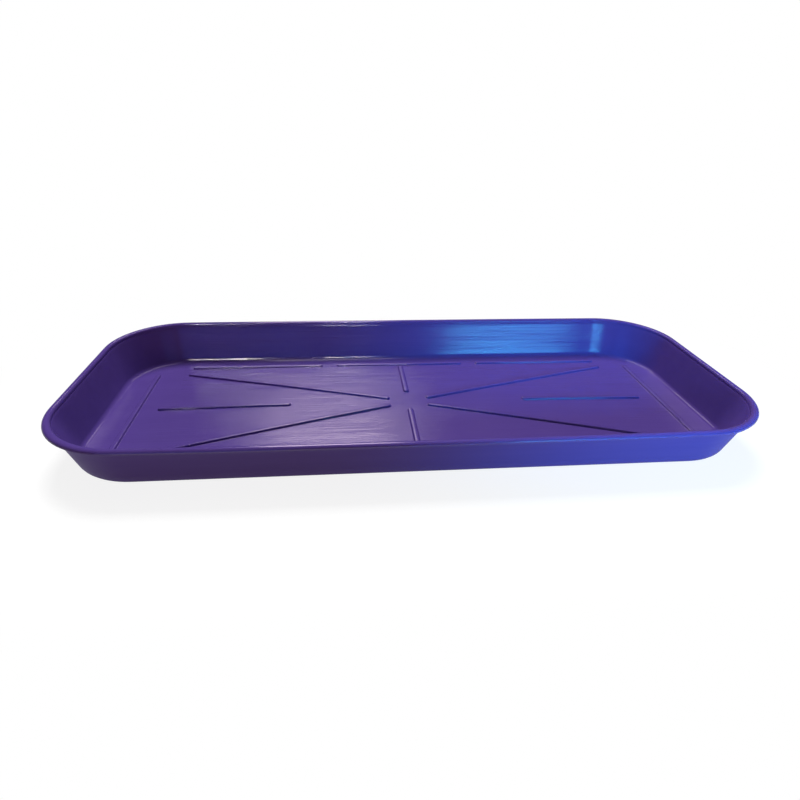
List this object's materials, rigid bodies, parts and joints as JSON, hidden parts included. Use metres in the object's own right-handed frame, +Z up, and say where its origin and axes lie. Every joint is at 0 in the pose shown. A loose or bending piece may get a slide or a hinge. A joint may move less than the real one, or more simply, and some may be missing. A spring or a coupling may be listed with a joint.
{
  "type": "plant saucer",
  "caption": "Shallow rectangular plant saucer with rounded corners, sloping walls, a rolled rim lip and low raised ribs on its floor.",
  "frame": {"origin": "centre of the underside, on the surface that the saucer stands on", "axes": "+X along the long side, +Y towards the back, +Z up out of the open top"},
  "size_m": [0.55, 0.235, 0.039],
  "materials": {
    "moulded_violet": "smooth semi-gloss moulded polypropylene, self-coloured violet"
  },
  "bodies": {
    "root": {"floor_panel": "moulded_violet", "side_wall": "moulded_violet", "rim_lip": "moulded_violet", "rear_border_rib_left": "moulded_violet", "rear_border_rib_middle": "moulded_violet", "rear_border_rib_right": "moulded_violet", "front_border_rib_left": "moulded_violet", "front_border_rib_middle": "moulded_violet", "front_border_rib_right": "moulded_violet", "left_end_rib": "moulded_violet", "right_end_rib": "moulded_violet", "rear_left_diagonal_rib": "moulded_violet", "rear_right_diagonal_rib": "moulded_violet", "front_left_diagonal_rib": "moulded_violet", "front_right_diagonal_rib": "moulded_violet", "left_centre_rib": "moulded_violet", "right_centre_rib": "moulded_violet", "rear_cross_rib": "moulded_violet", "front_cross_rib": "moulded_violet"}
  },
  "joints": []
}
